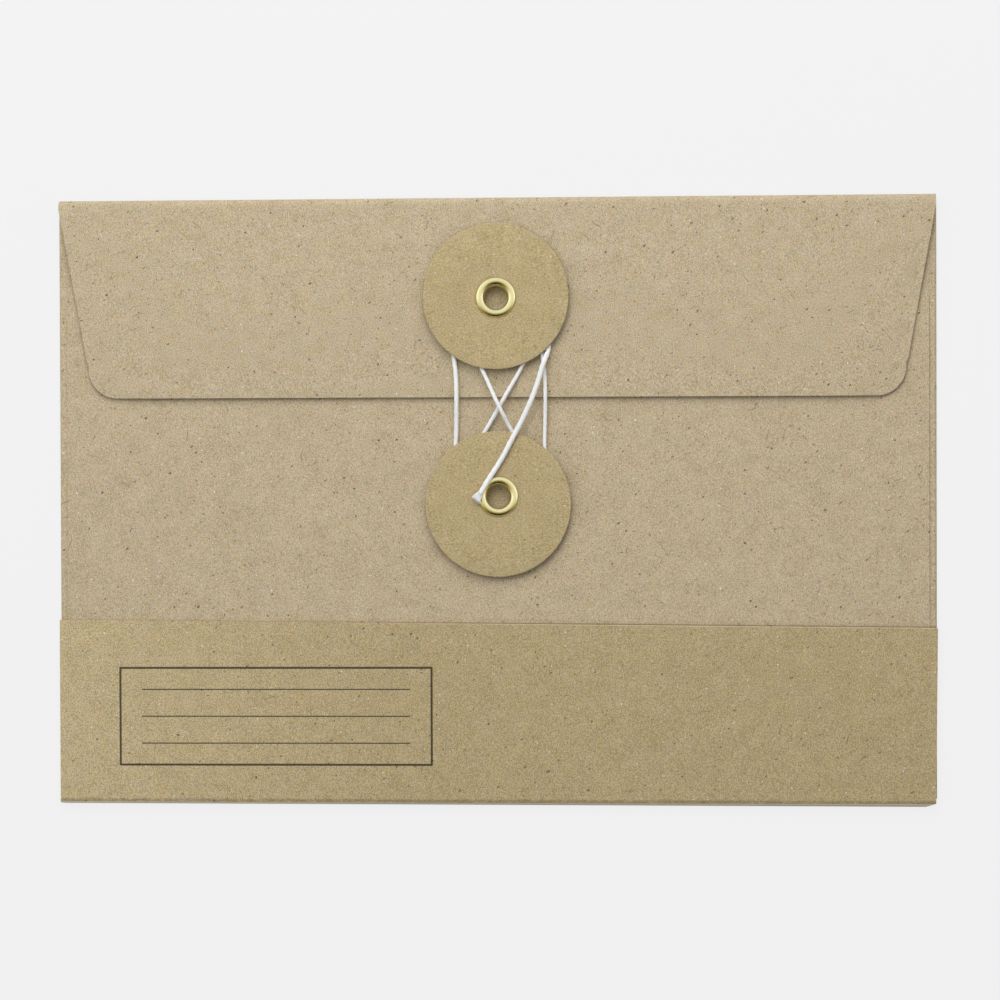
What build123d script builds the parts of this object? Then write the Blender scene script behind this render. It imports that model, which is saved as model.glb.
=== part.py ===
"""A string tie envelope lying on its back, flap side up, with a paper band round its bottom.

Millimetres, +Z up. The origin is on the surface it lies on, under the middle of its outline.
+Y points to the top fold, where the flap turns, and +X to the right of the closure.
"""

import math
import os

from build123d import *

# Sheet sizes
envelope_width = 162.4
overall_height = 112.0
paper = 0.25
band_card = 0.3

# Closing flap, measured from the top fold
flap_depth = 36.45
flap_shoulder = 1.5
flap_side_inset = 6.5
flap_corner_radius = 5.5

# Pocket panel, side flaps and glue
pocket_drop = 16.2
pocket_side_inset = 1.4
pocket_corner_radius = 1.6
side_flap_width = 15.0
side_flap_end_gap = 1.0
side_flap_corner = 3.0
glue = 0.08
glue_width = 8.0
glue_edge_gap = 1.2
glue_end_gap = 2.0
fold_end_gap = 0.3

# Buttons: a card disc on a spacer, held by a hollow eyelet with a washer behind the paper
upper_eyelet_drop = 18.2
upper_eyelet_shift = 0.2
eyelet_spacing = 36.6
lower_eyelet_shift = 0.3
disc_diameter = 27.0
disc_card = 0.5
upper_disc_rise = 0.3
lower_disc_drop = 1.4
spacer_diameter = 7.8
eyelet_bore = 4.6
eyelet_wall = 0.25
eyelet_flange = 7.2
roll_diameter = 6.6
roll_height = 0.4
washer_diameter = 8.6
washer_card = 0.2
running_clearance = 0.05
room_behind_roll = 0.35

# Cotton string
string_diameter = 0.95
string_room = 0.15
anchor_radius = 4.9
inner_radius = 6.75
upper_outer_radius = 8.6
lower_outer_radius = 9.0
fray_length = 1.7
fray_width = 1.9
fray_height = 0.8
fray_flattening = 0.98
fray_across = (1, -0.55, 0)

# Paper band
band_left_height = 34.0
band_right_height = 32.35
band_overhang = 0.1
band_slip = 0.1
band_bulge = 0.45

# Levels from the table upwards
back_bottom = band_card + band_slip
back_top = back_bottom + paper
inner_room = washer_card + roll_height + room_behind_roll
pocket_bottom = back_top + inner_room
pocket_top = pocket_bottom + paper
flap_bottom = pocket_top + inner_room
flap_top = flap_bottom + paper
side_flap_top = pocket_bottom - glue
spacer_height = string_diameter + 2 * string_room
band_top = pocket_top + band_slip + band_card

# Folds are half rounds from the back panel up to the sheet that it turns into
top_fold_radius = (flap_top - back_bottom) / 2
bottom_fold_radius = (pocket_top - back_bottom) / 2
side_fold_radius = (side_flap_top - back_bottom) / 2
half_width = envelope_width / 2
top_edge = overall_height / 2
top_hinge = top_edge - top_fold_radius
band_crease = -overall_height / 2 + band_bulge
bottom_edge = band_crease + band_slip
bottom_hinge = bottom_edge + bottom_fold_radius
side_hinge = half_width - side_fold_radius

# Places taken from these
pocket_edge = top_edge - pocket_drop
pocket_half = half_width - pocket_side_inset
upper_eyelet = (upper_eyelet_shift, top_edge - upper_eyelet_drop)
lower_eyelet = (upper_eyelet[0] + lower_eyelet_shift, upper_eyelet[1] - eyelet_spacing)
barrel_radius = eyelet_bore / 2 + eyelet_wall
hole_radius = barrel_radius + running_clearance


def fold_strip(plane, centre, outer_radius, thickness, turned_in, length):
    """Half a tube of sheet along the plane's normal, open to the side turned_in, -1 or +1."""
    with BuildPart() as strip:
        with BuildSketch(plane):
            with Locations(centre):
                Circle(outer_radius)
                Circle(outer_radius - thickness, mode=Mode.SUBTRACT)
            with Locations((centre[0] + turned_in * outer_radius, centre[1])):
                Rectangle(2 * outer_radius, 4 * outer_radius, mode=Mode.SUBTRACT)
        extrude(amount=length)
    return strip


def flat_ring(centre, outer_diameter, hole, bottom, thickness):
    """A card or brass washer with its hole at centre."""
    with BuildPart() as ring:
        with BuildSketch(Plane.XY.offset(bottom)):
            with Locations(centre):
                Circle(outer_diameter / 2)
                Circle(hole, mode=Mode.SUBTRACT)
        extrude(amount=thickness)
    return ring


def button_disc(centre, shift, bottom):
    """The card disc that the string winds under; shift is how far its middle lies above its hole."""
    with BuildPart() as disc:
        with BuildSketch(Plane.XY.offset(bottom)):
            with Locations((centre[0], centre[1] + shift)):
                Circle(disc_diameter / 2)
            with Locations(centre):
                Circle(hole_radius, mode=Mode.SUBTRACT)
        extrude(amount=disc_card)
    return disc


def eyelet(centre, sheet_bottom, disc_top):
    """A hollow brass eyelet: a half-round flange on the disc, a barrel, and a roll under the washer."""
    bore = eyelet_bore / 2
    flange = eyelet_flange / 2
    roll = roll_diameter / 2
    roll_seat = sheet_bottom - washer_card
    flange_crown = ((bore + flange) / 2, disc_top + (flange - bore) / 2)
    roll_crown = ((bore + roll) / 2, roll_seat - roll_height)
    with BuildPart() as tube:
        with BuildSketch(Plane.XZ):
            with BuildLine():
                Line((bore, roll_seat), (bore, disc_top))
                ThreePointArc((bore, disc_top), flange_crown, (flange, disc_top))
                Polyline((flange, disc_top), (barrel_radius, disc_top), (barrel_radius, roll_seat))
                Line((barrel_radius, roll_seat), (roll, roll_seat))
                ThreePointArc((roll, roll_seat), roll_crown, (bore, roll_seat))
            make_face()
        revolve(axis=Axis.Z)
    tube.part.position = (centre[0], centre[1], 0)
    return tube


def save(piece, name):
    piece.part.label = name
    export_step(piece.part, f"parts/{name}.step")


os.makedirs("parts", exist_ok=True)

# The back panel carries every fold
with BuildPart() as back_panel:
    with BuildSketch(Plane.XY.offset(back_bottom)):
        with Locations((0, (top_hinge + bottom_hinge) / 2)):
            Rectangle(2 * side_hinge, top_hinge - bottom_hinge)
    extrude(amount=paper)
save(back_panel, "back_panel")

# Side folds and side flaps, turned in over the back panel, and the glue on them
side_fold_middle = (back_bottom + side_flap_top) / 2
side_fold_length = top_hinge - bottom_hinge - fold_end_gap
glue_bottom_end = bottom_hinge + glue_end_gap
glue_top_end = pocket_edge - glue_end_gap
for side, side_name in ((-1, "left"), (1, "right")):
    side_fold = fold_strip(
        Plane.XZ.offset(-bottom_hinge - side_fold_length),
        (side * side_hinge, side_fold_middle),
        side_fold_radius,
        paper,
        -side,
        side_fold_length,
    )
    save(side_fold, f"{side_name}_side_fold")
    with BuildPart() as side_flap:
        with BuildSketch(Plane.XY.offset(side_flap_top - paper)):
            with BuildLine():
                flap_root = side * side_hinge
                flap_tip = side * (side_hinge - side_flap_width)
                low_end = bottom_hinge + side_flap_end_gap
                high_end = top_hinge - fold_end_gap
                Polyline(
                    (flap_root, low_end),
                    (flap_root, high_end),
                    (flap_tip, high_end - side_flap_corner),
                    (flap_tip, low_end + side_flap_corner),
                    close=True,
                )
            make_face()
        extrude(amount=paper)
    save(side_flap, f"{side_name}_side_flap")
    with BuildPart() as glue_seam:
        with BuildSketch(Plane.XY.offset(side_flap_top)):
            seam_middle = side * (pocket_half - glue_edge_gap - glue_width / 2)
            with Locations((seam_middle, (glue_bottom_end + glue_top_end) / 2)):
                Rectangle(glue_width, glue_top_end - glue_bottom_end)
        extrude(amount=glue)
    save(glue_seam, f"{side_name}_glue_seam")

# The bottom fold and the pocket panel, turned up over the side flaps
bottom_fold = fold_strip(
    Plane.YZ.offset(-pocket_half),
    (bottom_hinge, (back_bottom + pocket_top) / 2),
    bottom_fold_radius,
    paper,
    1,
    2 * pocket_half,
)
save(bottom_fold, "bottom_fold")
with BuildPart() as pocket_panel:
    with BuildSketch(Plane.XY.offset(pocket_bottom)) as pocket_sketch:
        with Locations((0, (bottom_hinge + pocket_edge) / 2)):
            Rectangle(2 * pocket_half, pocket_edge - bottom_hinge)
        fillet(pocket_sketch.vertices().group_by(Axis.Y)[-1], pocket_corner_radius)
        with Locations(lower_eyelet):
            Circle(hole_radius, mode=Mode.SUBTRACT)
    extrude(amount=paper)
save(pocket_panel, "pocket_panel")

# The top fold and the closing flap
flap_crease = fold_strip(
    Plane.YZ.offset(-half_width),
    (top_hinge, (back_bottom + flap_top) / 2),
    top_fold_radius,
    paper,
    -1,
    envelope_width,
)
save(flap_crease, "flap_crease")
with BuildPart() as closing_flap:
    with BuildSketch(Plane.XY.offset(flap_bottom)) as flap_sketch:
        with BuildLine():
            shoulder = top_edge - max(flap_shoulder, top_fold_radius)
            flap_edge = top_edge - flap_depth
            flap_half = half_width - flap_side_inset
            Polyline(
                (-half_width, top_hinge),
                (-half_width, shoulder),
                (-flap_half, flap_edge),
                (flap_half, flap_edge),
                (half_width, shoulder),
                (half_width, top_hinge),
                close=True,
            )
        make_face()
        fillet(flap_sketch.vertices().group_by(Axis.Y)[0], flap_corner_radius)
        with Locations(upper_eyelet):
            Circle(hole_radius, mode=Mode.SUBTRACT)
    extrude(amount=paper)
save(closing_flap, "closing_flap")

# The two buttons: the upper one on the flap, the lower one on the pocket panel
for place, centre, shift, sheet_top in (
    ("upper", upper_eyelet, upper_disc_rise, flap_top),
    ("lower", lower_eyelet, -lower_disc_drop, pocket_top),
):
    sheet_bottom = sheet_top - paper
    disc_bottom = sheet_top + spacer_height
    save(flat_ring(centre, spacer_diameter, hole_radius, sheet_top, spacer_height), f"{place}_spacer")
    save(button_disc(centre, shift, disc_bottom), f"{place}_disc")
    save(eyelet(centre, sheet_bottom, disc_bottom + disc_card), f"{place}_eyelet")
    washer_bottom = sheet_bottom - washer_card
    save(flat_ring(centre, washer_diameter, hole_radius, washer_bottom, washer_card), f"{place}_washer")


# The string is tied round the upper spacer, wound in a figure of eight and a long loop, and its end
# lies over the lower disc. Points are measured from the upper eyelet's middle, on the flap's face.
def turn(centre, radius, first, last, height):
    """Four equal steps round a button, from one angle to another."""
    steps = 4
    points = []
    for step in range(steps + 1):
        angle = math.radians(first + (last - first) * step / steps)
        points.append((centre[0] + radius * math.cos(angle), centre[1] + radius * math.sin(angle), height))
    return points


upper_middle = (0.0, 0.0)
lower_middle = (lower_eyelet_shift, -eyelet_spacing)
under_upper = spacer_height / 2
under_lower = pocket_top - flap_top + spacer_height / 2
anchor_turn = turn(upper_middle, anchor_radius, 200, -10, under_upper)
first_strand = [
    (5.0, -5.0, 0.63),
    (6.1, -9.3, 0.62),
    (4.9, -12.8, 0.6),
    (1.65, -18.55, 0.7),
    (0.3, -21.0, -0.1),
    (-1.9, -25.0, -0.55),
    (-4.4, -29.4, -0.56),
    (-5.9, -33.1, -0.57),
]
lower_inner_turn = turn(lower_middle, inner_radius, 187.5, 352.5, under_lower)
second_strand = [
    (6.5, -32.9, -0.57),
    (5.2, -28.8, -0.56),
    (2.7, -24.0, -0.52),
    (1.35, -21.2, 1.6),
    (0.15, -18.9, 1.72),
    (-1.5, -15.4, 1.15),
    (-2.6, -13.0, 0.68),
    (-4.5, -8.6, 0.63),
    (-5.9, -4.6, 0.63),
]
upper_inner_turn = turn(upper_middle, inner_radius, 172.5, 7.5, under_upper)
third_strand = [
    (7.1, -4.4, 0.62),
    (7.9, -7.8, 0.6),
    (8.7, -11.2, 0.55),
    (9.05, -15.0, 0.58),
    (9.12, -18.4, 0.72),
    (9.12, -21.5, -0.1),
    (9.1, -25.5, -0.55),
    (9.15, -30.7, -0.57),
]
lower_outer_turn = turn(lower_middle, lower_outer_radius, 352.5, 187.5, under_lower)
fourth_strand = [
    (-7.9, -32.7, -0.57),
    (-7.55, -27.6, -0.55),
    (-7.4, -23.6, -0.4),
    (-7.35, -20.9, 0.25),
    (-7.3, -18.3, 0.74),
    (-7.35, -14.6, 0.58),
    (-7.8, -10.5, 0.55),
    (-8.2, -5.4, 0.62),
]
upper_outer_turn = turn(upper_middle, upper_outer_radius, 172.5, 7.5, under_upper)
tail = [
    (8.9, -3.4, 0.63),
    (9.9, -6.4, 0.65),
    (10.2, -8.7, 0.72),
    (9.85, -10.1, 1.2),
    (9.3, -11.1, 1.95),
    (8.7, -12.5, 2.1),
    (8.0, -14.8, 1.95),
    (6.8, -18.3, 1.75),
    (4.7, -22.8, 1.5),
    (3.3, -25.3, 1.3),
    (1.1, -29.6, 1.2),
    (-0.8, -32.5, 1.36),
    (-2.0, -34.4, 1.78),
    (-2.95, -36.1, 1.72),
]
string_points = []
for stretch in (
    anchor_turn,
    first_strand,
    lower_inner_turn,
    second_strand,
    upper_inner_turn,
    third_strand,
    lower_outer_turn,
    fourth_strand,
    upper_outer_turn,
    tail,
):
    for x, y, z in stretch:
        string_points.append(Vector(upper_eyelet[0] + x, upper_eyelet[1] + y, flap_top + z))

# Each corner is rounded as far as its two runs allow
corner_share = 0.45
corner_radii = []
for before, corner, after in zip(string_points, string_points[1:], string_points[2:]):
    shorter_run = min((corner - before).length, (after - corner).length)
    half_turn = math.radians((corner - before).get_angle(after - corner)) / 2
    corner_radii.append(corner_share * shorter_run / math.tan(half_turn))
with BuildPart() as tie_string:
    with BuildLine() as string_route:
        FilletPolyline(*string_points, radius=corner_radii)
    with BuildSketch(Plane(string_route.wire() @ 0, z_dir=string_route.wire() % 0)):
        Circle(string_diameter / 2)
    sweep()
save(tie_string, "tie_string")

# The frayed end of the string, spread flat on the disc
string_wire = string_route.wire()
fray_root = Plane(string_wire @ 1, z_dir=string_wire % 1, x_dir=Vector(*fray_across))
with BuildPart() as string_frayed_end:
    with BuildSketch(fray_root):
        Ellipse(string_diameter / 2, string_diameter / 2 * fray_flattening)
    with BuildSketch(fray_root.offset(fray_length)):
        Ellipse(fray_width / 2, fray_height / 2)
    loft()
save(string_frayed_end, "string_frayed_end")

# How long the string is, how tightly it turns and how near it comes to itself
string_length = string_wire.length
sample_step = 0.3
sample_count = int(string_length / sample_step)
samples = [string_wire.position_at(i / sample_count) for i in range(sample_count + 1)]
same_stretch = int(4 * string_diameter / sample_step)
nearest = min(
    (samples[i] - samples[j]).length
    for i in range(len(samples))
    for j in range(i + same_stretch, len(samples))
)
plain_volume = math.pi * string_diameter**2 / 4 * string_length
print("string length", round(string_length, 1))
print("string corner radii", [round(radius, 1) for radius in corner_radii])
print("string least gap to itself", round(nearest - string_diameter, 3))
print("string volume against section times length", round(tie_string.part.volume / plain_volume, 4))

# The paper band: a front panel with an askew top edge, a bulging bottom and a back panel
band_half = half_width + band_overhang
for name, bottom in (("band_front", band_top - band_card), ("band_back", 0.0)):
    with BuildPart() as band_panel:
        with BuildSketch(Plane.XY.offset(bottom)):
            with BuildLine():
                Polyline(
                    (-band_half, band_crease),
                    (band_half, band_crease),
                    (band_half, band_crease + band_right_height),
                    (-band_half, band_crease + band_left_height),
                    close=True,
                )
            make_face()
        extrude(amount=band_card)
    save(band_panel, name)
with BuildPart() as band_bottom:
    with BuildSketch(Plane.YZ.offset(-band_half)):
        with BuildLine():
            outer_middle = (band_crease - band_bulge, band_top / 2)
            inner_middle = (band_crease - band_bulge + band_card, band_top / 2)
            ThreePointArc((band_crease, 0), outer_middle, (band_crease, band_top))
            Line((band_crease, band_top), (band_crease, band_top - band_card))
            ThreePointArc((band_crease, band_top - band_card), inner_middle, (band_crease, band_card))
            Line((band_crease, band_card), (band_crease, 0))
        make_face()
    extrude(amount=2 * band_half)
save(band_bottom, "band_bottom")
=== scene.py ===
import math
import random

import bmesh
import bpy
import numpy as np
from mathutils import Matrix, Vector, noise


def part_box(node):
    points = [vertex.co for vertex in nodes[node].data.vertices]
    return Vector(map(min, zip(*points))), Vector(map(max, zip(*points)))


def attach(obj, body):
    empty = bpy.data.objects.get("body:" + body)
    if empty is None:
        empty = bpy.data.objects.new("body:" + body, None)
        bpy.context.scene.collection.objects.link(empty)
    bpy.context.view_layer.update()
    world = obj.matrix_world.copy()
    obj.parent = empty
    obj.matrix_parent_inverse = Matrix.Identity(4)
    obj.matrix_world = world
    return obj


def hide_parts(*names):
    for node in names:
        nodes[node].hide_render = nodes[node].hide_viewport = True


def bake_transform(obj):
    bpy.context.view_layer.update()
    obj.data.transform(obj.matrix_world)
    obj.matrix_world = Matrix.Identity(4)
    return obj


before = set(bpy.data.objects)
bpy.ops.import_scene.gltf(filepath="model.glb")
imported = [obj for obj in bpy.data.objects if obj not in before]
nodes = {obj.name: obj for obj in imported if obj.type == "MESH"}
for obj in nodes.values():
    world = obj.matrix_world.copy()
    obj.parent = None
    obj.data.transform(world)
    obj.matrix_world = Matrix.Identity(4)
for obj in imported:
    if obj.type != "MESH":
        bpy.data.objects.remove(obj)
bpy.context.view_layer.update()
mm = 0.001

# The envelope's folded sheet: back, side folds and flaps, bottom fold and pocket front. It is recycled
# kraft paper, a quarter of a millimetre thick, flecked with dark bark, white lint and long fibres.


class Signal:
    """A shader value. Sums with numbers and other signals add Math nodes to its finish."""

    def __init__(self, finish, socket):
        self.finish = finish
        self.socket = socket

    def maths(self, operation, *values):
        return self.finish.node("ShaderNodeMath", {"operation": operation}, dict(enumerate(values)))

    def __add__(self, other):
        return self.maths("ADD", self, other)

    def __radd__(self, other):
        return self.maths("ADD", other, self)

    def __sub__(self, other):
        return self.maths("SUBTRACT", self, other)

    def __rsub__(self, other):
        return self.maths("SUBTRACT", other, self)

    def __mul__(self, other):
        return self.maths("MULTIPLY", self, other)

    def __rmul__(self, other):
        return self.maths("MULTIPLY", other, self)

    def __truediv__(self, other):
        return self.maths("DIVIDE", self, other)

    def __pow__(self, other):
        return self.maths("POWER", self, other)

    def __abs__(self):
        return self.maths("ABSOLUTE", self)

    def __lt__(self, other):
        return self.maths("LESS_THAN", self, other)

    def __gt__(self, other):
        return self.maths("GREATER_THAN", self, other)

    def larger(self, other):
        return self.maths("MAXIMUM", self, other)

    def smaller(self, other):
        return self.maths("MINIMUM", self, other)

    def held(self):
        """Kept between 0 and 1."""
        return self.larger(0.0).smaller(1.0)


class Finish:
    """One material and its nodes, or those of the world."""

    def __init__(self, name, world=None, **constants):
        self.material = world or bpy.data.materials.new(name)
        self.material.use_nodes = True
        self.tree = self.material.node_tree
        self.shader = self.tree.nodes["Background" if world else "Principled BSDF"]
        self.feed(self.shader, {key.replace("_", " "): value for key, value in constants.items()})

    def find(self, sockets, key):
        if isinstance(key, int):
            return sockets[key]
        return next(socket for socket in sockets if key in (socket.identifier, socket.name))

    def feed(self, node, values):
        for key, value in values.items():
            socket = self.find(node.inputs, key)
            if isinstance(value, Signal):
                self.tree.links.new(value.socket, socket)
            else:
                socket.default_value = value

    def node(self, kind, settings, values, output=0):
        """Adds a node: its settings first, then its sockets; gives back one of its outputs."""
        made = self.tree.nodes.new(kind)
        for key, value in settings.items():
            setattr(made, key, value)
        self.feed(made, values)
        return Signal(self, self.find(made.outputs, output))

    def other(self, signal, output):
        """Another output of the node that a signal comes from."""
        return Signal(self, self.find(signal.socket.node.outputs, output))

    def mix(self, share, first, second, blend="MIX"):
        settings = {"data_type": "RGBA", "blend_type": blend}
        values = {"Factor_Float": share, "A_Color": first, "B_Color": second}
        return self.node("ShaderNodeMix", settings, values, "Result_Color")

    def place(self):
        return self.node("ShaderNodeTexCoord", {}, {}, "Object")

    def cloud(self, place, size, detail=2.0):
        values = {"Vector": place, "Scale": 1 / size, "Detail": detail}
        return self.node("ShaderNodeTexNoise", {"normalize": True}, values, "Fac")

    def turned(self, place, angle, stretch):
        """The place turned about Z by degrees, and drawn out along its new X."""
        values = {"Vector": place, "Rotation": (0, 0, math.radians(angle)), "Scale": (stretch, 1, 1)}
        return self.node("ShaderNodeMapping", {"vector_type": "TEXTURE"}, values)

    def flecks(self, place, spread, largest, rarity):
        """Scattered marks, one to each cell of that spread. Most are small, and some are faint."""
        flat = {"voronoi_dimensions": "2D"}
        values = {"Vector": place, "Scale": 1 / spread}
        cell = self.node("ShaderNodeTexVoronoi", flat, values, "Distance")
        chance = self.node("ShaderNodeSeparateColor", {}, {"Color": self.other(cell, "Color")}, "Red")
        strength = 0.6 + 0.4 * self.other(chance, "Green")
        radius = largest * chance**rarity / spread
        soft_edge = 0.03 * mm / spread
        return strength * ((radius - cell) / soft_edge).held()

    def bump(self, height, depth, strength):
        values = {"Height": height, "Distance": depth, "Strength": strength}
        return self.node("ShaderNodeBump", {}, values, "Normal")


def paper_finish(name, shade, grain, grain_angle, grain_stretch, fleck_share):
    """Uncoated recycled paper: mottled, grained, with dark flecks, white lint and long fibres."""
    paper = Finish(name, Specular_IOR_Level=0.25)
    place = paper.place()
    drift_size = 2.2 * mm
    drift_reach = 1.1 * mm
    drift_values = {"Vector": place, "Scale": 1 / drift_size, "Detail": 1.0}
    drift = paper.node("ShaderNodeTexNoise", {}, drift_values, "Color")
    middle = (0.5, 0.5, 0.5)
    centred = paper.node("ShaderNodeVectorMath", {"operation": "SUBTRACT"}, {0: drift, 1: middle})
    drifted = paper.node("ShaderNodeVectorMath", {"operation": "SCALE"}, {0: centred, "Scale": drift_reach})
    bent = paper.node("ShaderNodeVectorMath", {"operation": "ADD"}, {0: place, 1: drifted})
    fine = paper.cloud(paper.turned(place, grain_angle, grain_stretch), 0.2 * mm, 5.0)
    mottle = paper.cloud(place, 3 * mm, 3.0)
    blush = paper.cloud(bent, 1.1 * mm, 3.0)
    hue = paper.cloud(paper.turned(place, 33, 1.2), 0.9 * mm, 3.0)
    tone = (0.5 + grain * (fine - 0.5) + 0.45 * (mottle - 0.5)).held()
    blue_tint = (0.975, 1.0, 1.1)
    yellow_tint = (1.025, 1.0, 0.87)
    deep_share = (0.7, 0.68, 0.58)
    light_share = (1.3, 1.32, 1.44)
    tinted = []
    for tint in (blue_tint, yellow_tint):
        deep = [part * keep * lean for part, keep, lean in zip(shade, deep_share, tint)]
        light = [part * keep * lean for part, keep, lean in zip(shade, light_share, tint)]
        tinted.append(paper.mix(tone, (*deep, 1), (*light, 1)))
    colour = paper.mix((0.5 + 1.8 * (hue - 0.5)).held(), *tinted)
    green_flush = (0.967, 1.015, 1.0, 1)
    red_flush = (1.033, 0.985, 1.0, 1)
    flush = paper.mix((0.5 + 2.0 * (blush - 0.5)).held(), green_flush, red_flush)
    colour = paper.mix(1.0, colour, flush, "MULTIPLY")
    fibre_brown = (0.17, 0.115, 0.055, 1)
    faint_brown = (0.25, 0.155, 0.07, 1)
    bark_brown = (0.09, 0.06, 0.028, 1)
    lint_white = (0.95, 0.92, 0.86, 1)
    fibres = None
    for angle in (18, 76, 133):
        along = paper.turned(bent, angle, 12)
        some = paper.flecks(along, 2.1 * mm, 0.12 * mm, 2.2)
        fibres = some if fibres is None else fibres.larger(some)
    colour = paper.mix(0.6 * fleck_share * fibres, colour, fibre_brown)
    faint = paper.flecks(paper.turned(bent, 110, 1.5), 1.15 * mm, 0.15 * mm, 1.8)
    colour = paper.mix(0.95 * fleck_share * faint, colour, faint_brown)
    bark = paper.flecks(paper.turned(bent, 40, 1.6), 1.9 * mm, 0.185 * mm, 2.4)
    colour = paper.mix(0.98 * fleck_share * bark, colour, bark_brown)
    lint = paper.flecks(bent, 2.6 * mm, 0.15 * mm, 1.8)
    colour = paper.mix(0.72 * fleck_share * lint, colour, lint_white)
    return paper, place, fine, colour


kraft, kraft_place, kraft_grain, kraft_colour = paper_finish(
    "kraft_paper", (0.495, 0.402, 0.265), 2.8, 90, 1.2, 0.9
)
kraft.feed(
    kraft.shader,
    {"Roughness": 0.8 + 0.2 * kraft_grain, "Normal": kraft.bump(kraft_grain, 0.03 * mm, 0.25)},
)


def dress(finish, *names):
    """Gives CAD nodes a finish."""
    for name in names:
        nodes[name].data.materials.clear()
        nodes[name].data.materials.append(finish.material)


dress(kraft, "back_panel", "left_side_fold", "right_side_fold", "left_side_flap", "right_side_flap")
dress(kraft, "bottom_fold", "pocket_panel")

# Two strips of paper glue hold the pocket front to the side flaps. They are dried, thin and a little
# glossy, and only their edges can be seen.
glue = Finish("dried_glue", Roughness=0.4)
glue_patch = glue.cloud(glue.place(), 1.5 * mm)
glue.feed(glue.shader, {"Base Color": glue.mix(glue_patch, (0.62, 0.55, 0.42, 1), (0.8, 0.74, 0.6, 1))})
dress(glue, "left_glue_seam", "right_glue_seam")

# The closing flap and the half-round crease it turns on. The flap is the same sheet, cut to slanting
# sides and round corners; it lies a little proud at its corners and is drawn down by the string.


def sheet_piece(name, rows, thickness, finish, hole=None):
    """A sheet through rows of points, its outer face given, thickened inwards, with one round hole."""
    mesh = bmesh.new()
    grid = [[mesh.verts.new(point) for point in row] for row in rows]
    for low, high in zip(grid, grid[1:]):
        for a, b, c, d in zip(low, low[1:], high[1:], high):
            if hole is not None:
                centre, radius = hole
                if min((corner.co.xy - centre).length for corner in (a, b, c, d)) < radius:
                    continue
            face = mesh.faces.new((a, b, c, d))
            face.smooth = True
    loose = [vertex for vertex in mesh.verts if not vertex.link_faces]
    bmesh.ops.delete(mesh, geom=loose, context="VERTS")
    bmesh.ops.recalc_face_normals(mesh, faces=mesh.faces)
    data = bpy.data.meshes.new(name)
    mesh.to_mesh(data)
    mesh.free()
    piece = bpy.data.objects.new(name, data)
    bpy.context.scene.collection.objects.link(piece)
    data.materials.append(finish.material)
    solid = piece.modifiers.new("thickness", "SOLIDIFY")
    solid.thickness = thickness
    solid.offset = -1.0
    solid.use_rim = True
    return piece


paper_thickness = 0.25 * mm
flap_low, flap_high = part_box("closing_flap")
crease_low, crease_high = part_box("flap_crease")
upper_eyelet_low, upper_eyelet_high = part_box("upper_eyelet")
upper_middle = Vector((upper_eyelet_low + upper_eyelet_high) / 2).xy
flap_half = 81.0 * mm
flap_inset = 6.3 * mm
flap_shoulder = 1.5 * mm
flap_corner = 5.5 * mm
hinge_y = flap_high.y
flap_edge = flap_low.y
shoulder_y = crease_high.y - flap_shoulder
slant = Vector((flap_half - flap_inset, flap_edge)) - Vector((flap_half, shoulder_y))
slant_lean = math.atan2(-slant.x, -slant.y)
corner_centre_y = flap_edge + flap_corner
corner_setback = flap_corner * (1 - math.sin(slant_lean)) / math.cos(slant_lean)
corner_centre_x = flap_half - flap_inset - corner_setback


def flap_reach(y):
    """How far the flap reaches to each side at a height."""
    if y >= shoulder_y:
        return flap_half
    straight = flap_half - (shoulder_y - y) * math.tan(slant_lean)
    below = corner_centre_y - y
    if below <= -flap_corner * math.sin(slant_lean):
        return straight
    return corner_centre_x + math.sqrt(max(flap_corner**2 - below**2, 0))


def edge_steps(count, edge):
    """Shares from 0 to 1 with one more just inside each end, which keeps a cut edge crisp."""
    return [0.0, edge, *np.linspace(0, 1, count + 1)[1:-1], 1 - edge, 1.0]


crease_radius = (flap_high.z - crease_low.z) / 2
crease_middle = (flap_high.z + crease_low.z) / 2
crease_left = crease_radius + 0.26 * mm
crease_right = crease_radius + 0.52 * mm
crease_flatness = 0.68
eyelet_hole = 2.6 * mm
edge_dip = 0.2
corner_lift = 0.06
string_pull = 0.08
string_pull_reach = 26 * mm
side_dip = 0.42
full_dip = 0.5
ripple_depth = 0.07
flap_columns = edge_steps(170, 0.0004)
flap_rows = []
for angle in np.linspace(-math.pi / 2, math.pi / 2, 25)[:-1]:
    out = max(math.cos(angle), 0.0) ** crease_flatness
    z = crease_middle + crease_radius * math.sin(angle)
    points = []
    for column in flap_columns:
        bulge = crease_left + (crease_right - crease_left) * column
        points.append((flap_half * (2 * column - 1), hinge_y + bulge * out, z))
    flap_rows.append(points)
for turn in edge_steps(60, 0.004):
    share = math.sin(turn * math.pi / 2)
    y = hinge_y + (flap_edge - hinge_y) * share
    reach = flap_reach(y)
    points = []
    for column in flap_columns:
        x = reach * (2 * column - 1)
        pull = string_pull * math.exp(-((x / string_pull_reach) ** 2))
        along_edge = (edge_dip - corner_lift * (x / flap_half) ** 2 + pull) * share**4
        along_side = side_dip * abs(2 * column - 1) ** 14 * min(3 * share, 1) ** 2
        dip = along_edge + along_side * (1 - along_edge / full_dip)
        ripple = ripple_depth * noise.noise(Vector((x / (24 * mm), y / (18 * mm), 3.7)))
        points.append((x, y, flap_high.z + mm * (ripple * share - dip)))
    flap_rows.append(points)
punched = (upper_middle, eyelet_hole)
closing_flap = sheet_piece("kraft_closing_flap", flap_rows, paper_thickness, kraft, punched)
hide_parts("closing_flap", "flap_crease")
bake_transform(closing_flap)

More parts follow.
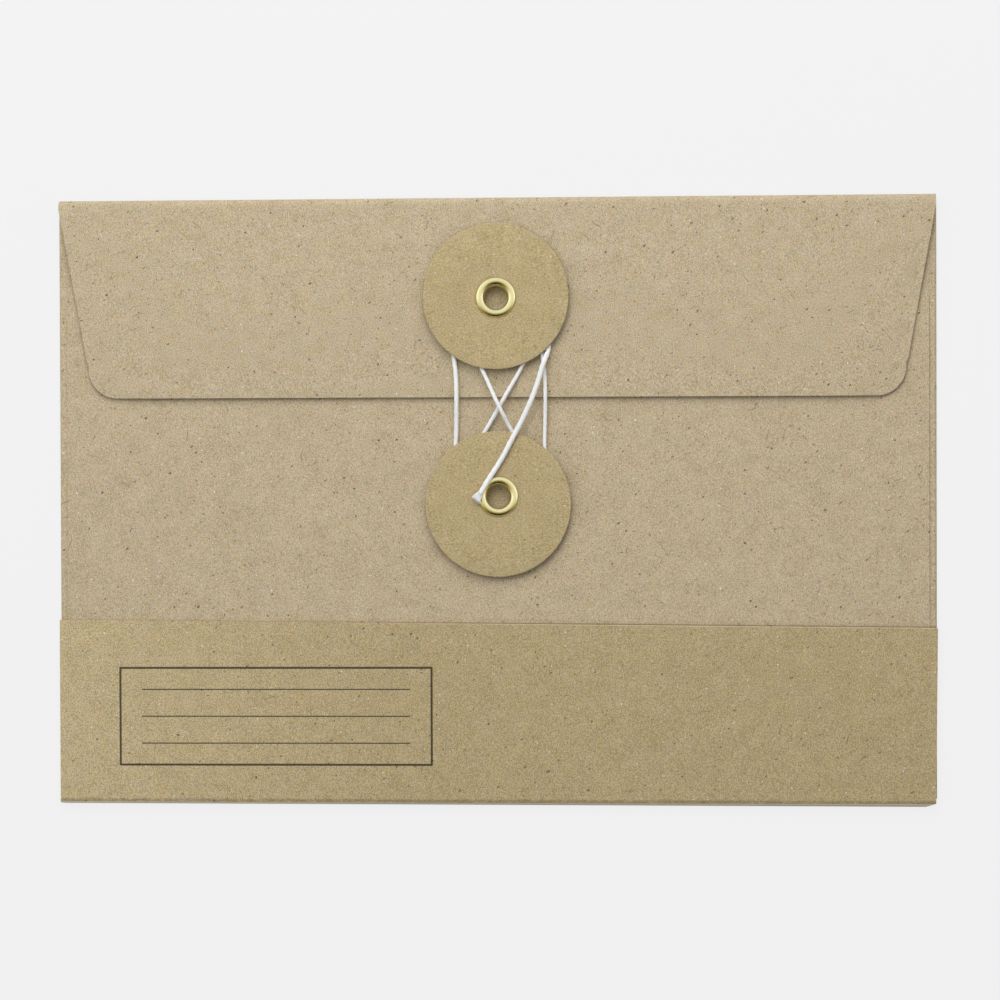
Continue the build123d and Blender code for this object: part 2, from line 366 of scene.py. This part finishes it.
# The paper band round the bottom: a strip of yellower kraft folded in a U, its top edge a little askew
# and its fold scuffed, the fold's lower part paler with wear and painted light. Its front is printed with
# a ruled panel; its top edge has pale cut fibres and a painted highlight, and casts a painted shadow
# on the envelope's paper, whose colour is therefore finished here.
band, band_place, band_grain, band_colour = paper_finish(
    "band_paper", (0.437, 0.345, 0.191), 3.6, 90, 1.2, 0.88
)
band_x = band.node("ShaderNodeSeparateXYZ", {}, {"Vector": band_place}, "X")
band_y = band.other(band_x, "Y")
band_z = band.other(band_x, "Z")
faded = ((-20 * mm - band_x) / (60 * mm)).held()
fade_tint = (1.16, 1.18, 1.24, 1)
band_colour = band.mix(faded, band_colour, fade_tint, "MULTIPLY")
band_front_low, band_front_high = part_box("band_front")
band_back_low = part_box("band_back")[0]
band_bottom_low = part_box("band_bottom")[0]
fold_y = band_front_low.y
scuff_noise = band.cloud(band.turned(band_place, 0, 2), 0.5 * mm, 5.0)
scuff_line = fold_y + 0.29 * mm - band_x * 0.0021
scuff = (1.5 - abs(band_y - scuff_line) / (0.16 * mm + 0.3 * mm * scuff_noise)).held()
scuff_brown = (0.15, 0.115, 0.062, 1)
scuff_share = 0.55 * scuff * (3 * scuff_noise - 0.6).held()
band_colour = band.mix(scuff_share, band_colour, scuff_brown)
# The fold's lower part is painted paler in two bands of buff. This is partly worn, bared paper and partly
# painted light, standing in for the light that its down-turned face does not get.
fold_upper = ((band_z - 1.6 * mm) / (0.4 * mm)).held()
wear_and_painted_light = ((scuff_line - 0.24 * mm - band_y) / (0.1 * mm)).held() * fold_upper
wear_and_light_buff = (0.53, 0.48, 0.38, 1)
band_colour = band.mix(0.9 * wear_and_painted_light, band_colour, wear_and_light_buff)
bared_and_painted_light = ((fold_y - band_y) / (0.15 * mm)).held() * fold_upper
bared_and_light_buff = (0.7, 0.62, 0.48, 1)
band_colour = band.mix(0.9 * bared_and_painted_light, band_colour, bared_and_light_buff)
band_half = band_front_high.x
band_left_height = 34.0 * mm
band_right_height = 32.35 * mm
edge_slope = (band_left_height - band_right_height) / (2 * band_half)
edge_middle = fold_y + (band_left_height + band_right_height) / 2
# A pale line along the band's top edge: partly pale cut fibres, partly a painted highlight where a rounded
# cut edge would catch the light.
edge_noise = band.cloud(band_place, 0.6 * mm, 3.0)
edge_share = ((band_x + 45 * mm) / (60 * mm)).held() * (0.3 + 0.8 * edge_noise)
pale_edge_and_highlight = ((band_y + edge_slope * band_x - edge_middle + 0.19 * mm) / (0.05 * mm)).held()
edge_and_highlight_buff = (0.72, 0.61, 0.42, 1)
band_colour = band.mix(0.6 * pale_edge_and_highlight * edge_share, band_colour, edge_and_highlight_buff)
ink_edge = 0.05 * mm * (band.cloud(band_place, 0.2 * mm) - 0.5)
panel_x = -41 * mm
panel_y = -39.5 * mm
panel_half_width = 29 * mm
panel_half_height = 9 * mm
panel_side = abs(band_x - panel_x) - panel_half_width
panel_end = abs(band_y - panel_y) - panel_half_height
outline_half = 0.2 * mm
rule_half = 0.11 * mm
rule_margin = 4 * mm
outline = abs(panel_side.larger(panel_end)) + ink_edge < outline_half
inside = panel_side < -rule_margin
ruled = None
for height in (-34.5, -39.5, -44.5):
    line = (abs(band_y - height * mm) + ink_edge < rule_half) * inside
    ruled = line if ruled is None else ruled.larger(line)
ink = outline.larger(ruled) * (band_z > band_front_high.z - 0.1 * mm)
ink_black = (0.035, 0.028, 0.022, 1)
band_colour = band.mix(0.9 * ink, band_colour, ink_black)
band.feed(
    band.shader,
    {
        "Base Color": band_colour,
        "Roughness": 0.8 + 0.2 * band_grain,
        "Normal": band.bump(band_grain, 0.03 * mm, 0.25),
    },
)
# Painted shadow on the envelope's paper just above the band's top edge: a thin dark line and a wider,
# fainter band of painted shade, stronger to the right.
shadow_x = kraft.node("ShaderNodeSeparateXYZ", {}, {"Vector": kraft_place}, "X")
shadow_y = kraft.other(shadow_x, "Y") + edge_slope * shadow_x - edge_middle
shadow_share = 0.3 + 0.7 * ((shadow_x + 45 * mm) / (60 * mm)).held()
painted_shadow_line = 0.5 * (1.3 - abs(shadow_y - 0.08 * mm) / (0.17 * mm)).held()
painted_shade_band = 0.16 * (1 - abs(shadow_y) / (1.1 * mm)).held()
shadow_brown = (0.2, 0.13, 0.062, 1)
kraft_with_painted_shadow = kraft.mix(shadow_share * (painted_shadow_line + painted_shade_band), kraft_colour, shadow_brown)
kraft.feed(kraft.shader, {"Base Color": kraft_with_painted_shadow})
band_thickness = 0.3 * mm
band_taper = 0.36 * mm
band_left_chamfer = 0.9 * mm
band_right_chamfer = 2.0 * mm
bulge = fold_y - band_bottom_low.y
bulge_skew = 0.24 * mm / bulge
band_middle = (band_front_high.z + band_back_low.z) / 2
bulge_half = band_front_high.z - band_middle
bulge_radius = (bulge**2 + bulge_half**2) / (2 * bulge)
profile = []
for share in edge_steps(24, 0.0015):
    profile.append((1 - share, band_front_high.z, 0.0))
bulge_sweep = math.asin(bulge_half / bulge_radius)
for angle in np.linspace(bulge_sweep, -bulge_sweep, 13)[1:-1]:
    out = bulge_radius * math.cos(angle) - (bulge_radius - bulge)
    profile.append((0.0, band_middle + bulge_radius * math.sin(angle), out))
for share in edge_steps(24, 0.0015):
    profile.append((share, band_back_low.z, 0.0))
band_rows = []
for share, z, out in profile:
    points = []
    for across in edge_steps(120, 0.0004):
        height = band_left_height + (band_right_height - band_left_height) * across
        x = band_half * (2 * across - 1) - band_taper * (1 - share) * across
        wave = 0.05 * mm * noise.noise(Vector((x / (30 * mm), share * 2, z * 300)))
        chamfer = band_left_chamfer + (band_right_chamfer - band_left_chamfer) * across
        lean = 1 - chamfer * (out / bulge) ** 1.2 / band_half
        fuller = 1 + bulge_skew * (x / band_half)
        sag = abs(wave) * share * (1 if z > band_middle else 0)
        points.append((x * lean, fold_y + share * height - out * fuller, z - sag))
    band_rows.append(points)
paper_band = sheet_piece("paper_band", band_rows, band_thickness, band)
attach(paper_band, "band")
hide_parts("band_front", "band_bottom", "band_back")

# Two buttons hold the string: a punched card disc on a card spacer. The board is yellower than the
# envelope, with a fine slanting grain and a soft, slightly ragged rim.
disc_board, board_place, board_grain, board_colour = paper_finish(
    "disc_board", (0.453, 0.357, 0.193), 2.7, 24, 1.7, 0.7
)
board_streak = disc_board.cloud(disc_board.turned(board_place, 24, 14), 0.3 * mm, 4.0)
streak_brown = (0.34, 0.25, 0.12, 1)
board_colour = disc_board.mix((0.8 * (board_streak - 0.5)).held(), board_colour, streak_brown)
disc_board.feed(
    disc_board.shader,
    {
        "Base Color": board_colour,
        "Roughness": 0.82 + 0.15 * board_grain,
        "Normal": disc_board.bump(board_grain, 0.03 * mm, 0.15),
    },
)
dress(disc_board, "upper_spacer", "lower_spacer")


def revolved(name, profile, centre, steps, finish, wander=None):
    """A ring turned from a closed profile of radius and height; wander may move its points."""
    mesh = bmesh.new()
    rings = []
    for step in range(steps):
        angle = 2 * math.pi * step / steps
        ring = []
        for radius, height in profile:
            point = Vector((radius * math.cos(angle), radius * math.sin(angle), height))
            if wander is not None:
                point = wander(point, angle, radius)
            ring.append(mesh.verts.new((centre.x + point.x, centre.y + point.y, point.z)))
        rings.append(ring)
    for one, two in zip(rings, rings[1:] + rings[:1]):
        for a, b, c, d in zip(one, one[1:] + one[:1], two[1:] + two[:1], two):
            face = mesh.faces.new((a, b, c, d))
            face.smooth = True
    bmesh.ops.recalc_face_normals(mesh, faces=mesh.faces)
    data = bpy.data.meshes.new(name)
    mesh.to_mesh(data)
    mesh.free()
    piece = bpy.data.objects.new(name, data)
    bpy.context.scene.collection.objects.link(piece)
    data.materials.append(finish.material)
    return piece


disc_radius = 13.5 * mm
disc_hole = 2.6 * mm
rim_round = 0.12 * mm
rim_droop = 0.12 * mm
rim_ragged = 0.05 * mm
rim_fuzzy = 0.03 * mm
rim_trim = 0.04 * mm
flat_radius = 4.2 * mm
droop_radius = 9.6 * mm
rim_middle = disc_radius - rim_round
disc_steps = 240
for disc, body, eyelet, seed, tip in (
    ("upper_disc", "upper_button", "upper_eyelet", 1.3, -0.16 * mm),
    ("lower_disc", "lower_button", "lower_eyelet", 7.9, 0.16 * mm),
):
    low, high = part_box(disc)
    eyelet_low, eyelet_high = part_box(eyelet)
    centre = Vector((low + high) / 2).xy
    hole_shift = Vector((eyelet_low + eyelet_high) / 2).xy - centre

    def wander(point, angle, radius):
        """Moves the hole onto the eyelet, roughens the rim and tips the disc up over the strands."""
        towards_hole = (disc_radius - radius) / (disc_radius - disc_hole)
        ragged = rim_ragged * noise.noise(Vector((9 * math.cos(angle), 9 * math.sin(angle), seed)))
        fuzzy = rim_fuzzy * noise.noise(Vector((40 * math.cos(angle), 40 * math.sin(angle), seed)))
        if radius > 0.9 * disc_radius:
            point.xy = point.xy * (1 + (ragged + fuzzy - rim_trim) / disc_radius)
        point.xy = point.xy + hole_shift * towards_hole
        outer = max(radius - flat_radius, 0) / disc_radius
        beyond = max(radius - droop_radius, 0) / (disc_radius - droop_radius)
        point.z += tip * outer * math.sin(angle) - rim_droop * beyond**2
        return point

    disc_profile = [(disc_hole, low.z), (disc_hole, high.z)]
    for radius in np.linspace(flat_radius, rim_middle, 12):
        disc_profile.append((radius, high.z))
    for turn in np.linspace(math.pi / 2, 0, 5)[1:]:
        radius = rim_middle + rim_round * math.cos(turn)
        disc_profile.append((radius, high.z - rim_round + rim_round * math.sin(turn)))
    for turn in np.linspace(0, -math.pi / 2, 5):
        radius = rim_middle + rim_round * math.cos(turn)
        disc_profile.append((radius, low.z + rim_round + rim_round * math.sin(turn)))
    for radius in np.linspace(rim_middle, flat_radius, 12)[1:]:
        disc_profile.append((radius, low.z))
    card_disc = revolved(f"card_{disc}", disc_profile, centre, disc_steps, disc_board, wander)
    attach(card_disc, body)
    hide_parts(disc)

# Each button is riveted on with a hollow brass eyelet, pressed from sheet and rolled over a washer
# behind the paper. The brass is pale and bright, with a fine uneven surface.
brass = Finish("pressed_brass", Metallic=1.0)
brass_place = brass.place()
brass_wear = brass.cloud(brass_place, 0.9 * mm, 4.0)
brass_fine = brass.cloud(brass_place, 0.12 * mm, 2.0)
dull_brass = (0.76, 0.695, 0.36, 1)
bright_brass = (0.86, 0.808, 0.48, 1)
brass.feed(
    brass.shader,
    {
        "Base Color": brass.mix(brass_wear, dull_brass, bright_brass),
        "Roughness": 0.14 + 0.12 * brass_wear,
        "Normal": brass.bump(brass_fine, 0.006 * mm, 0.3),
    },
)
dress(brass, "upper_washer", "lower_washer")
bore = 2.28 * mm
neck = 2.04 * mm
flange = 3.68 * mm
crown_flatness = 0.7
crown_lean = Vector((0.26, 0.26))
flange_turn = 0.06 * mm
barrel = 2.55 * mm
roll = 3.3 * mm
eyelet_steps = 160
for place, body in (("upper", "flap"), ("lower", "envelope")):
    low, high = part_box(f"{place}_eyelet")
    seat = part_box(f"{place}_washer")[0].z
    crown_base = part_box(f"{place}_disc")[1].z
    centre = Vector((low + high) / 2).xy
    crown = high.z - crown_base

    def lean(point, angle, radius):
        """Leans the flange up the sheet, as a hand press leaves it."""
        rise = max(point.z - crown_base, 0)
        point.xy = point.xy + crown_lean * rise
        return point

    eyelet_profile = []
    for angle in np.linspace(0, math.pi, 25):
        flat = max(math.sin(angle), 0.0) ** crown_flatness
        radius = (bore + flange) / 2 - (flange - bore) / 2 * math.cos(angle)
        eyelet_profile.append((radius, crown_base + crown * flat))
    eyelet_profile.append((flange - flange_turn, crown_base))
    eyelet_profile.append((barrel, crown_base))
    for height in np.linspace(crown_base, seat, 8)[1:]:
        eyelet_profile.append((barrel, height))
    for angle in np.linspace(0, math.pi, 13):
        radius = (neck + roll) / 2 + (roll - neck) / 2 * math.cos(angle)
        eyelet_profile.append((radius, seat - (seat - low.z) * math.sin(angle)))
    for share in np.linspace(0, 1, 10)[1:-1]:
        height = seat + (crown_base - seat) * share
        eyelet_profile.append((neck + (bore - neck) * share**2, height))
    brass_eyelet = revolved(f"brass_{place}_eyelet", eyelet_profile, centre, eyelet_steps, brass, lean)
    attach(brass_eyelet, body)
    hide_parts(f"{place}_eyelet")

# The string: three soft plies of white cotton twisted together. It starts round the upper spacer, is
# wound round both buttons, and its cut end lies frayed over the lower disc. Its route is in millimetres
# from the upper eyelet and the flap's face.
cotton = Finish("twisted_cotton", Roughness=0.9, Specular_IOR_Level=0.2, Sheen_Weight=0.3)
cotton_place = cotton.place()
cotton_lint = cotton.cloud(cotton_place, 0.16 * mm, 3.0)
cotton_soil = cotton.cloud(cotton_place, 5 * mm, 2.0)
cotton_shade = (0.84, 0.84, 0.83, 1)
cotton_white = (0.94, 0.94, 0.93, 1)
soil_buff = (0.76, 0.73, 0.66, 1)
cotton_colour = cotton.mix((1.4 * (cotton_lint - 0.3)).held(), cotton_shade, cotton_white)
cotton_colour = cotton.mix(0.08 * cotton_soil, cotton_colour, soil_buff)
cotton.feed(
    cotton.shader,
    {"Base Color": cotton_colour, "Normal": cotton.bump(cotton_lint, 0.02 * mm, 0.25)},
)
string_diameter = 0.95 * mm
spacer_height = 1.25
lower_seat = -1.2 + spacer_height / 2


def turn_points(centre, radius, first, last, height):
    """Four equal steps round a button."""
    points = []
    for step in range(5):
        angle = math.radians(first + (last - first) * step / 4)
        x = centre[0] + radius * math.cos(angle)
        y = centre[1] + radius * math.sin(angle)
        points.append((x, y, height))
    return points


above = (0.0, 0.0)
below = (0.3, -36.6)
string_points = turn_points(above, 4.9, 200, -10, spacer_height / 2)
string_points += [
    (5.0, -5.0, 0.63),
    (6.1, -9.3, 0.62),
    (4.8, -12.8, 0.6),
    (1.4, -18.55, 0.7),
    (0.0, -21.0, -0.1),
    (-2.35, -25.0, -0.55),
    (-4.75, -29.4, -0.56),
    (-6.0, -33.1, -0.57),
]
string_points += turn_points(below, 6.75, 187.5, 352.5, lower_seat)
string_points += [
    (6.5, -32.9, -0.57),
    (5.2, -28.8, -0.56),
    (2.55, -24.0, -0.52),
    (1.2, -21.2, 1.6),
    (0.05, -18.9, 1.72),
    (-1.5, -15.4, 1.15),
    (-2.6, -13.0, 0.68),
    (-4.5, -8.6, 0.63),
    (-5.9, -4.6, 0.63),
]
string_points += turn_points(above, 6.75, 172.5, 7.5, spacer_height / 2)
string_points += [
    (7.1, -4.4, 0.62),
    (7.9, -7.8, 0.6),
    (8.7, -11.2, 0.55),
    (9.05, -15.0, 0.58),
    (9.1, -18.4, 0.72),
    (9.05, -21.5, -0.1),
    (8.9, -25.5, -0.55),
    (8.9, -30.7, -0.57),
]
string_points += turn_points(below, 9.0, 352.5, 187.5, lower_seat)
string_points += [
    (-7.9, -32.7, -0.57),
    (-7.55, -27.6, -0.55),
    (-7.4, -23.6, -0.4),
    (-7.35, -20.9, 0.25),
    (-7.3, -18.3, 0.74),
    (-7.35, -14.6, 0.58),
    (-7.8, -10.5, 0.55),
    (-8.2, -5.4, 0.62),
]
string_points += turn_points(above, 8.6, 172.5, 7.5, spacer_height / 2)
string_points += [
    (8.9, -3.4, 0.63),
    (9.6, -6.4, 0.62),
    (9.75, -8.9, 0.66),
    (9.55, -10.15, 1.0),
    (9.15, -11.2, 1.9),
    (8.65, -12.5, 2.1),
    (8.0, -14.8, 1.95),
    (6.8, -18.3, 1.75),
    (4.7, -22.8, 1.5),
    (3.3, -25.3, 1.3),
    (1.1, -29.6, 1.2),
    (-0.8, -32.5, 1.36),
    (-2.0, -34.4, 1.78),
    (-2.95, -36.1, 1.72),
]
string_curve = bpy.data.curves.new("string_route", "CURVE")
string_curve.dimensions = "3D"
string_curve.resolution_u = 24
string_spline = string_curve.splines.new("NURBS")
string_spline.points.add(len(string_points) - 1)
for control, (x, y, z) in zip(string_spline.points, string_points):
    control.co = (upper_middle.x + x * mm, upper_middle.y + y * mm, flap_high.z + z * mm, 1.0)
string_spline.order_u = 3
string_spline.use_endpoint_u = True
string_line = bpy.data.objects.new("string_route", string_curve)
bpy.context.scene.collection.objects.link(string_line)
bpy.context.view_layer.update()
string_mesh = bpy.data.meshes.new_from_object(string_line)
route = np.array([vertex.co[:] for vertex in string_mesh.vertices])
bpy.data.objects.remove(string_line)
bpy.data.meshes.remove(string_mesh)
run = np.concatenate([[0], np.cumsum(np.linalg.norm(np.diff(route, axis=0), axis=1))])
string_length = float(run[-1])
ring_step = 0.2 * mm
ring_count = int(string_length / ring_step) + 1
ring_at = np.linspace(0, string_length, ring_count)
ring_centres = np.stack([np.interp(ring_at, run, route[:, axis]) for axis in range(3)], axis=1)
headings = np.gradient(ring_centres, axis=0)
headings /= np.linalg.norm(headings, axis=1)[:, None]
across = np.cross(headings[0], (0, 0, 1))
across /= np.linalg.norm(across)
sides = []
for heading in headings:
    across = across - heading * float(across @ heading)
    across /= np.linalg.norm(across)
    sides.append(across)
sides = np.array(sides)
tops = np.cross(sides, headings)
ply_count = 3
ply_centre = 0.1 * string_diameter
ply_radius = 0.4 * string_diameter
ply_pitch = 4.2 * mm
around = 24
girth_at = [0, 0.3, 0.57, 0.66, 0.79, 0.87, 1]
girth = [0.82, 0.78, 0.77, 0.9, 0.9, 0.98, 1.04]
girths = np.interp(ring_at / string_length, girth_at, girth)
string_faces = []
string_verts = []
for ring in range(ring_count):
    twist = 2 * math.pi * ring_at[ring] / ply_pitch
    swell = girths[ring] + 0.05 * noise.noise(Vector((ring_at[ring] / (1.3 * mm), 0.0, 5.1)))
    for step in range(around):
        angle = 2 * math.pi * step / around
        lobe = (angle - twist) % (2 * math.pi / ply_count) - math.pi / ply_count
        ply_edge = math.sqrt(ply_radius**2 - (ply_centre * math.sin(lobe)) ** 2)
        radius = (ply_centre * math.cos(lobe) + ply_edge) * swell
        out = math.cos(angle) * sides[ring] + math.sin(angle) * tops[ring]
        string_verts.append(tuple(ring_centres[ring] + radius * out))
for ring in range(ring_count - 1):
    this = ring * around
    following = this + around
    for step in range(around):
        nxt = (step + 1) % around
        string_faces.append((this + step, this + nxt, following + nxt, following + step))
string_faces.append(tuple(range(around))[::-1])
string_faces.append(tuple((ring_count - 1) * around + step for step in range(around)))
string_data = bpy.data.meshes.new("cotton_string")
string_data.from_pydata(string_verts, [], string_faces)
string_data.polygons.foreach_set("use_smooth", [True] * len(string_faces))
string_data.materials.append(cotton.material)
cotton_string = bpy.data.objects.new("cotton_string", string_data)
bpy.context.scene.collection.objects.link(cotton_string)
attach(cotton_string, "flap")
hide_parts("tie_string")


def fibre_piece(name, strands):
    """Fine tapering fibres, each through its own points with a radius at each."""
    verts = []
    faces = []
    corners = 4
    for points, radii in strands:
        start = len(verts)
        for index, (point, radius) in enumerate(zip(points, radii)):
            ahead = points[min(index + 1, len(points) - 1)] - points[max(index - 1, 0)]
            side = ahead.cross(Vector((0.3, 0.2, 1))).normalized()
            top = side.cross(ahead).normalized()
            for corner in range(corners):
                angle = 2 * math.pi * corner / corners
                verts.append(point + radius * (math.cos(angle) * side + math.sin(angle) * top))
        for index in range(len(points) - 1):
            for corner in range(corners):
                nxt = (corner + 1) % corners
                base = start + index * corners
                faces.append((base + corner, base + nxt, base + corners + nxt, base + corners + corner))
        faces.append(tuple(start + corner for corner in reversed(range(corners))))
        faces.append(tuple(start + (len(points) - 1) * corners + corner for corner in range(corners)))
    data = bpy.data.meshes.new(name)
    data.from_pydata([tuple(vert) for vert in verts], [], faces)
    data.polygons.foreach_set("use_smooth", [True] * len(faces))
    data.materials.append(cotton.material)
    piece = bpy.data.objects.new(name, data)
    bpy.context.scene.collection.objects.link(piece)
    return piece


draw = random.Random(11)
tail_end = Vector(ring_centres[-1])
tail_heading = Vector(headings[-1])
tail_flat = Vector((tail_heading.x, tail_heading.y, 0)).normalized()
tail_side = Vector((-tail_flat.y, tail_flat.x, 0))
fray_start = -0.5 * mm
fray_length = 2.2 * mm
fray_root = 0.4 * mm
fray_spread = 1.1 * mm
fray_drop = 0.12 * mm
fray_lean = -0.28 * mm
fray_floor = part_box("lower_disc")[1].z + 0.12 * mm


def fray_point(share, sideways, upwards):
    """A place in the tuft: a share of its length, and places across and up from -1 to 1."""
    half_width = fray_root + (fray_spread - fray_root) * share**1.3
    half_height = fray_root - 0.22 * mm * share
    aside = half_width * sideways + fray_lean * share
    spot = tail_end + tail_flat * (fray_start + fray_length * share) + tail_side * aside
    spot.z = max(tail_end.z - fray_drop * share**1.5 + half_height * upwards, fray_floor)
    return spot


fray_fibres = 300
fray_steps = 6
fibre_radius = 0.05 * mm
fibre_taper = 0.35
strands = []
for fibre in range(fray_fibres):
    angle = draw.uniform(0, 2 * math.pi)
    off = math.sqrt(draw.random())
    reach = draw.uniform(0.88, 1.0) * (0.91 + 0.09 * off * math.cos(angle))
    curl = draw.gauss(0, 0.05)
    points = []
    for step in range(fray_steps + 1):
        share = reach * step / fray_steps
        sideways = off * math.cos(angle) + curl * math.sin(4 * share)
        points.append(fray_point(share, sideways, 0.9 * off * math.sin(angle)))
    radii = [fibre_radius * (1 - fibre_taper * step / fray_steps) for step in range(fray_steps + 1)]
    strands.append((points, radii))
frayed_end = fibre_piece("string_frayed_fibres", strands)
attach(frayed_end, "flap")
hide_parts("string_frayed_end")

fuzz_hairs = 420
fuzz_root = 0.36 * string_diameter
hair_steps = 4
hair_radius = 0.014 * mm
hair_taper = 0.7
fuzz = []
for hair in range(fuzz_hairs):
    ring = draw.randrange(6, ring_count - 6)
    angle = draw.uniform(0, 2 * math.pi)
    out = Vector(math.cos(angle) * sides[ring] + math.sin(angle) * tops[ring])
    along = Vector(headings[ring]) * draw.choice((-1, 1))
    root = Vector(ring_centres[ring]) + out * fuzz_root
    rise = draw.uniform(0.08, 0.3) * mm
    reach = draw.uniform(0.25, 0.7) * mm
    points = []
    for step in range(hair_steps + 1):
        share = step / hair_steps
        stand = rise * math.sin(1.9 * share) + 0.1 * mm * share
        points.append(root + out * stand + along * (reach * share))
    radii = [hair_radius * (1 - hair_taper * step / hair_steps) for step in range(hair_steps + 1)]
    fuzz.append((points, radii))
string_fuzz = fibre_piece("string_fuzz", fuzz)
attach(string_fuzz, "flap")

# A plain pale table under the envelope, and the pale studio round it. The table glows to the camera and
# keeps a faint shadow, the brass mirrors the studio, and four soft boxes light the envelope from above.
floor_mesh = bpy.data.meshes.new("floor")
floor_reach = 4.0
floor_z = -0.02 * mm
floor_mesh.from_pydata(
    [
        (-floor_reach, -floor_reach, floor_z),
        (floor_reach, -floor_reach, floor_z),
        (floor_reach, floor_reach, floor_z),
        (-floor_reach, floor_reach, floor_z),
    ],
    [],
    [(0, 1, 2, 3)],
)
floor = bpy.data.objects.new("floor", floor_mesh)
bpy.context.scene.collection.objects.link(floor)
table = Finish("pale_table", Roughness=0.9, Specular_IOR_Level=0.1)
table.feed(table.shader, {"Base Color": (0.86, 0.86, 0.86, 1)})
pale = (0.888, 0.888, 0.888, 1)
glow = table.node("ShaderNodeEmission", {}, {"Color": pale, "Strength": 1.0})
seen = table.node("ShaderNodeLightPath", {}, {}, "Is Camera Ray")
lit = Signal(table, table.shader.outputs[0])
surface = table.node("ShaderNodeMixShader", {}, {0: 0.92 * seen, 1: lit, 2: glow})
table.feed(table.tree.nodes["Material Output"], {"Surface": surface})
floor_mesh.materials.append(table.material)

world = bpy.data.worlds.new("studio")
bpy.context.scene.world = world
studio = Finish("studio", world, Color=(0.96, 0.98, 1.0, 1), Strength=0.4)
looking = studio.node("ShaderNodeTexCoord", {}, {}, "Generated")
look_x = studio.node("ShaderNodeSeparateXYZ", {}, {"Vector": looking}, "X")
look_y = studio.other(look_x, "Y")
look_z = studio.other(look_x, "Z")
mirror_glow = 0.9 + 0.2 * look_z - 1.3 * (0 - look_y).held() + 0.75 * look_x * look_x
olive = (0.62, 0.5, 0.16, 1)
mirror_colour = studio.mix((1.8 * (0 - look_y)).held(), pale, olive)
backdrop = studio.node("ShaderNodeBackground", {}, {"Color": pale})
mirrored = studio.node(
    "ShaderNodeBackground", {}, {"Color": mirror_colour, "Strength": mirror_glow.larger(0.04)}
)
straight = studio.node("ShaderNodeLightPath", {}, {}, "Is Camera Ray")
glossy = studio.other(straight, "Is Glossy Ray")
lit_sky = Signal(studio, studio.shader.outputs[0])
not_lit = studio.node("ShaderNodeMixShader", {}, {0: glossy, 1: lit_sky, 2: mirrored})
sky = studio.node("ShaderNodeMixShader", {}, {0: straight, 1: not_lit, 2: backdrop})
studio.feed(studio.tree.nodes["World Output"], {"Surface": sky})


def soft_box(name, place, size, power, aim=(0, 0, 0)):
    """A large square lamp pointed at the envelope, out of sight of the brass."""
    data = bpy.data.lights.new(name, "AREA")
    data.size = size
    data.energy = power
    lamp = bpy.data.objects.new(name, data)
    lamp.location = place
    lamp.rotation_euler = (Vector(aim) - Vector(place)).to_track_quat("-Z", "Y").to_euler()
    lamp.visible_glossy = False
    bpy.context.scene.collection.objects.link(lamp)


soft_box("key_soft_box", (0.015, 0.33, 0.34), 0.32, 1.2)
soft_box("left_soft_box", (-0.55, 0.14, 0.45), 0.24, 0.54)
soft_box("right_soft_box", (0.55, 0.14, 0.45), 0.24, 0.13)
soft_box("top_soft_box", (-0.17, 0.2, 0.56), 0.3, 0.78)

# The camera looks almost straight down, from a little to the right. It has a long lens, and nothing is
# out of focus.
sensor_width = 36.0
lens_to_sensor = 3.23808
camera_data = bpy.data.cameras.new("camera")
camera_data.sensor_width = sensor_width
camera_data.lens = lens_to_sensor * sensor_width
camera = bpy.data.objects.new("camera", camera_data)
stand = (0.02917, 0.0094, 0.6)
tilt = Vector((-0.01489, 0.04739, -0.00309))
camera.matrix_world = Matrix.Translation(stand) @ Matrix.Rotation(tilt.length, 4, tilt)
camera_data.clip_start = 0.01
camera_data.clip_end = 20.0
bpy.context.scene.collection.objects.link(camera)
bpy.context.scene.camera = camera
bpy.context.scene.view_settings.view_transform = "Standard"
